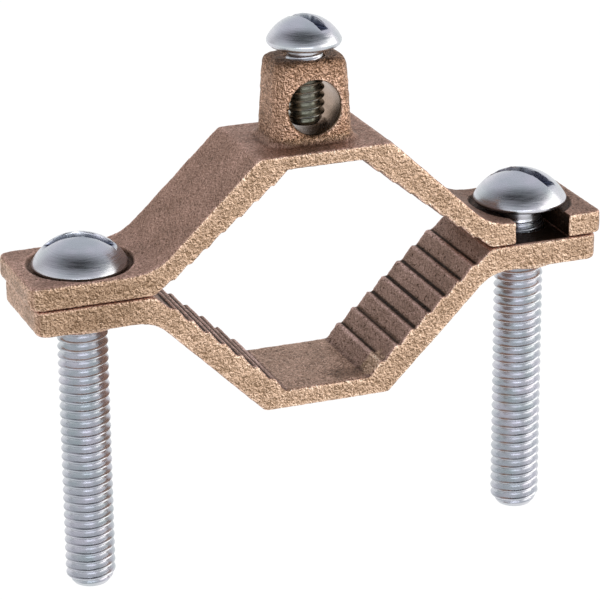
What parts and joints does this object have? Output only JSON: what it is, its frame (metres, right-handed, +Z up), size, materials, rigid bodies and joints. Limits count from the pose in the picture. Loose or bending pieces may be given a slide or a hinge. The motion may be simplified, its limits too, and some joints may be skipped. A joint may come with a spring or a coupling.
{
  "type": "grounding clamp",
  "caption": "Cast bronze water pipe ground clamp: two toothed V jaws on two round-head screws, with a screw-down wire lug.",
  "frame": {"origin": "centre of the pipe opening on the parting plane between the two closed jaws, midway between the two clamp screws", "axes": "+X towards the slotted ear, +Y along the pipe away from the slot's open side, +Z up along the clamp screws towards the wire lug"},
  "size_m": [0.0938, 0.0182, 0.0874],
  "materials": {
    "bronze_casting": "as sand cast",
    "zinc_plated_steel": "bright zinc plate"
  },
  "bodies": {
    "lower_jaw": {"lower_jaw": "bronze_casting"},
    "left_screw": {"left_clamp_screw": "zinc_plated_steel"},
    "upper_jaw": {"upper_jaw": "bronze_casting"},
    "right_screw": {"right_clamp_screw": "zinc_plated_steel"},
    "wire_screw": {"wire_screw": "zinc_plated_steel"}
  },
  "joints": [
    {"name": "jaw_lift", "type": "slide", "parent": "lower_jaw", "child": "left_screw", "axis": [0, 0, 1], "range_m": [0, 0.04]},
    {"name": "jaw_swing", "type": "hinge", "parent": "left_screw", "child": "upper_jaw", "pos_m": [-0.0365, 0, 0], "axis": [0, 0, 1], "range_deg": [0, 345]},
    {"name": "right_screw_lift", "type": "slide", "parent": "lower_jaw", "child": "right_screw", "axis": [0, 0, 1], "range_m": [0, 0.04]},
    {"name": "wire_screw_travel", "type": "slide", "parent": "upper_jaw", "child": "wire_screw", "axis": [0, 0, 1], "range_m": [-0.0002, 0.008]}
  ],
  "couplings": [
    {"joint": "right_screw_lift", "follows": "jaw_lift", "ratio": 1}
  ]
}
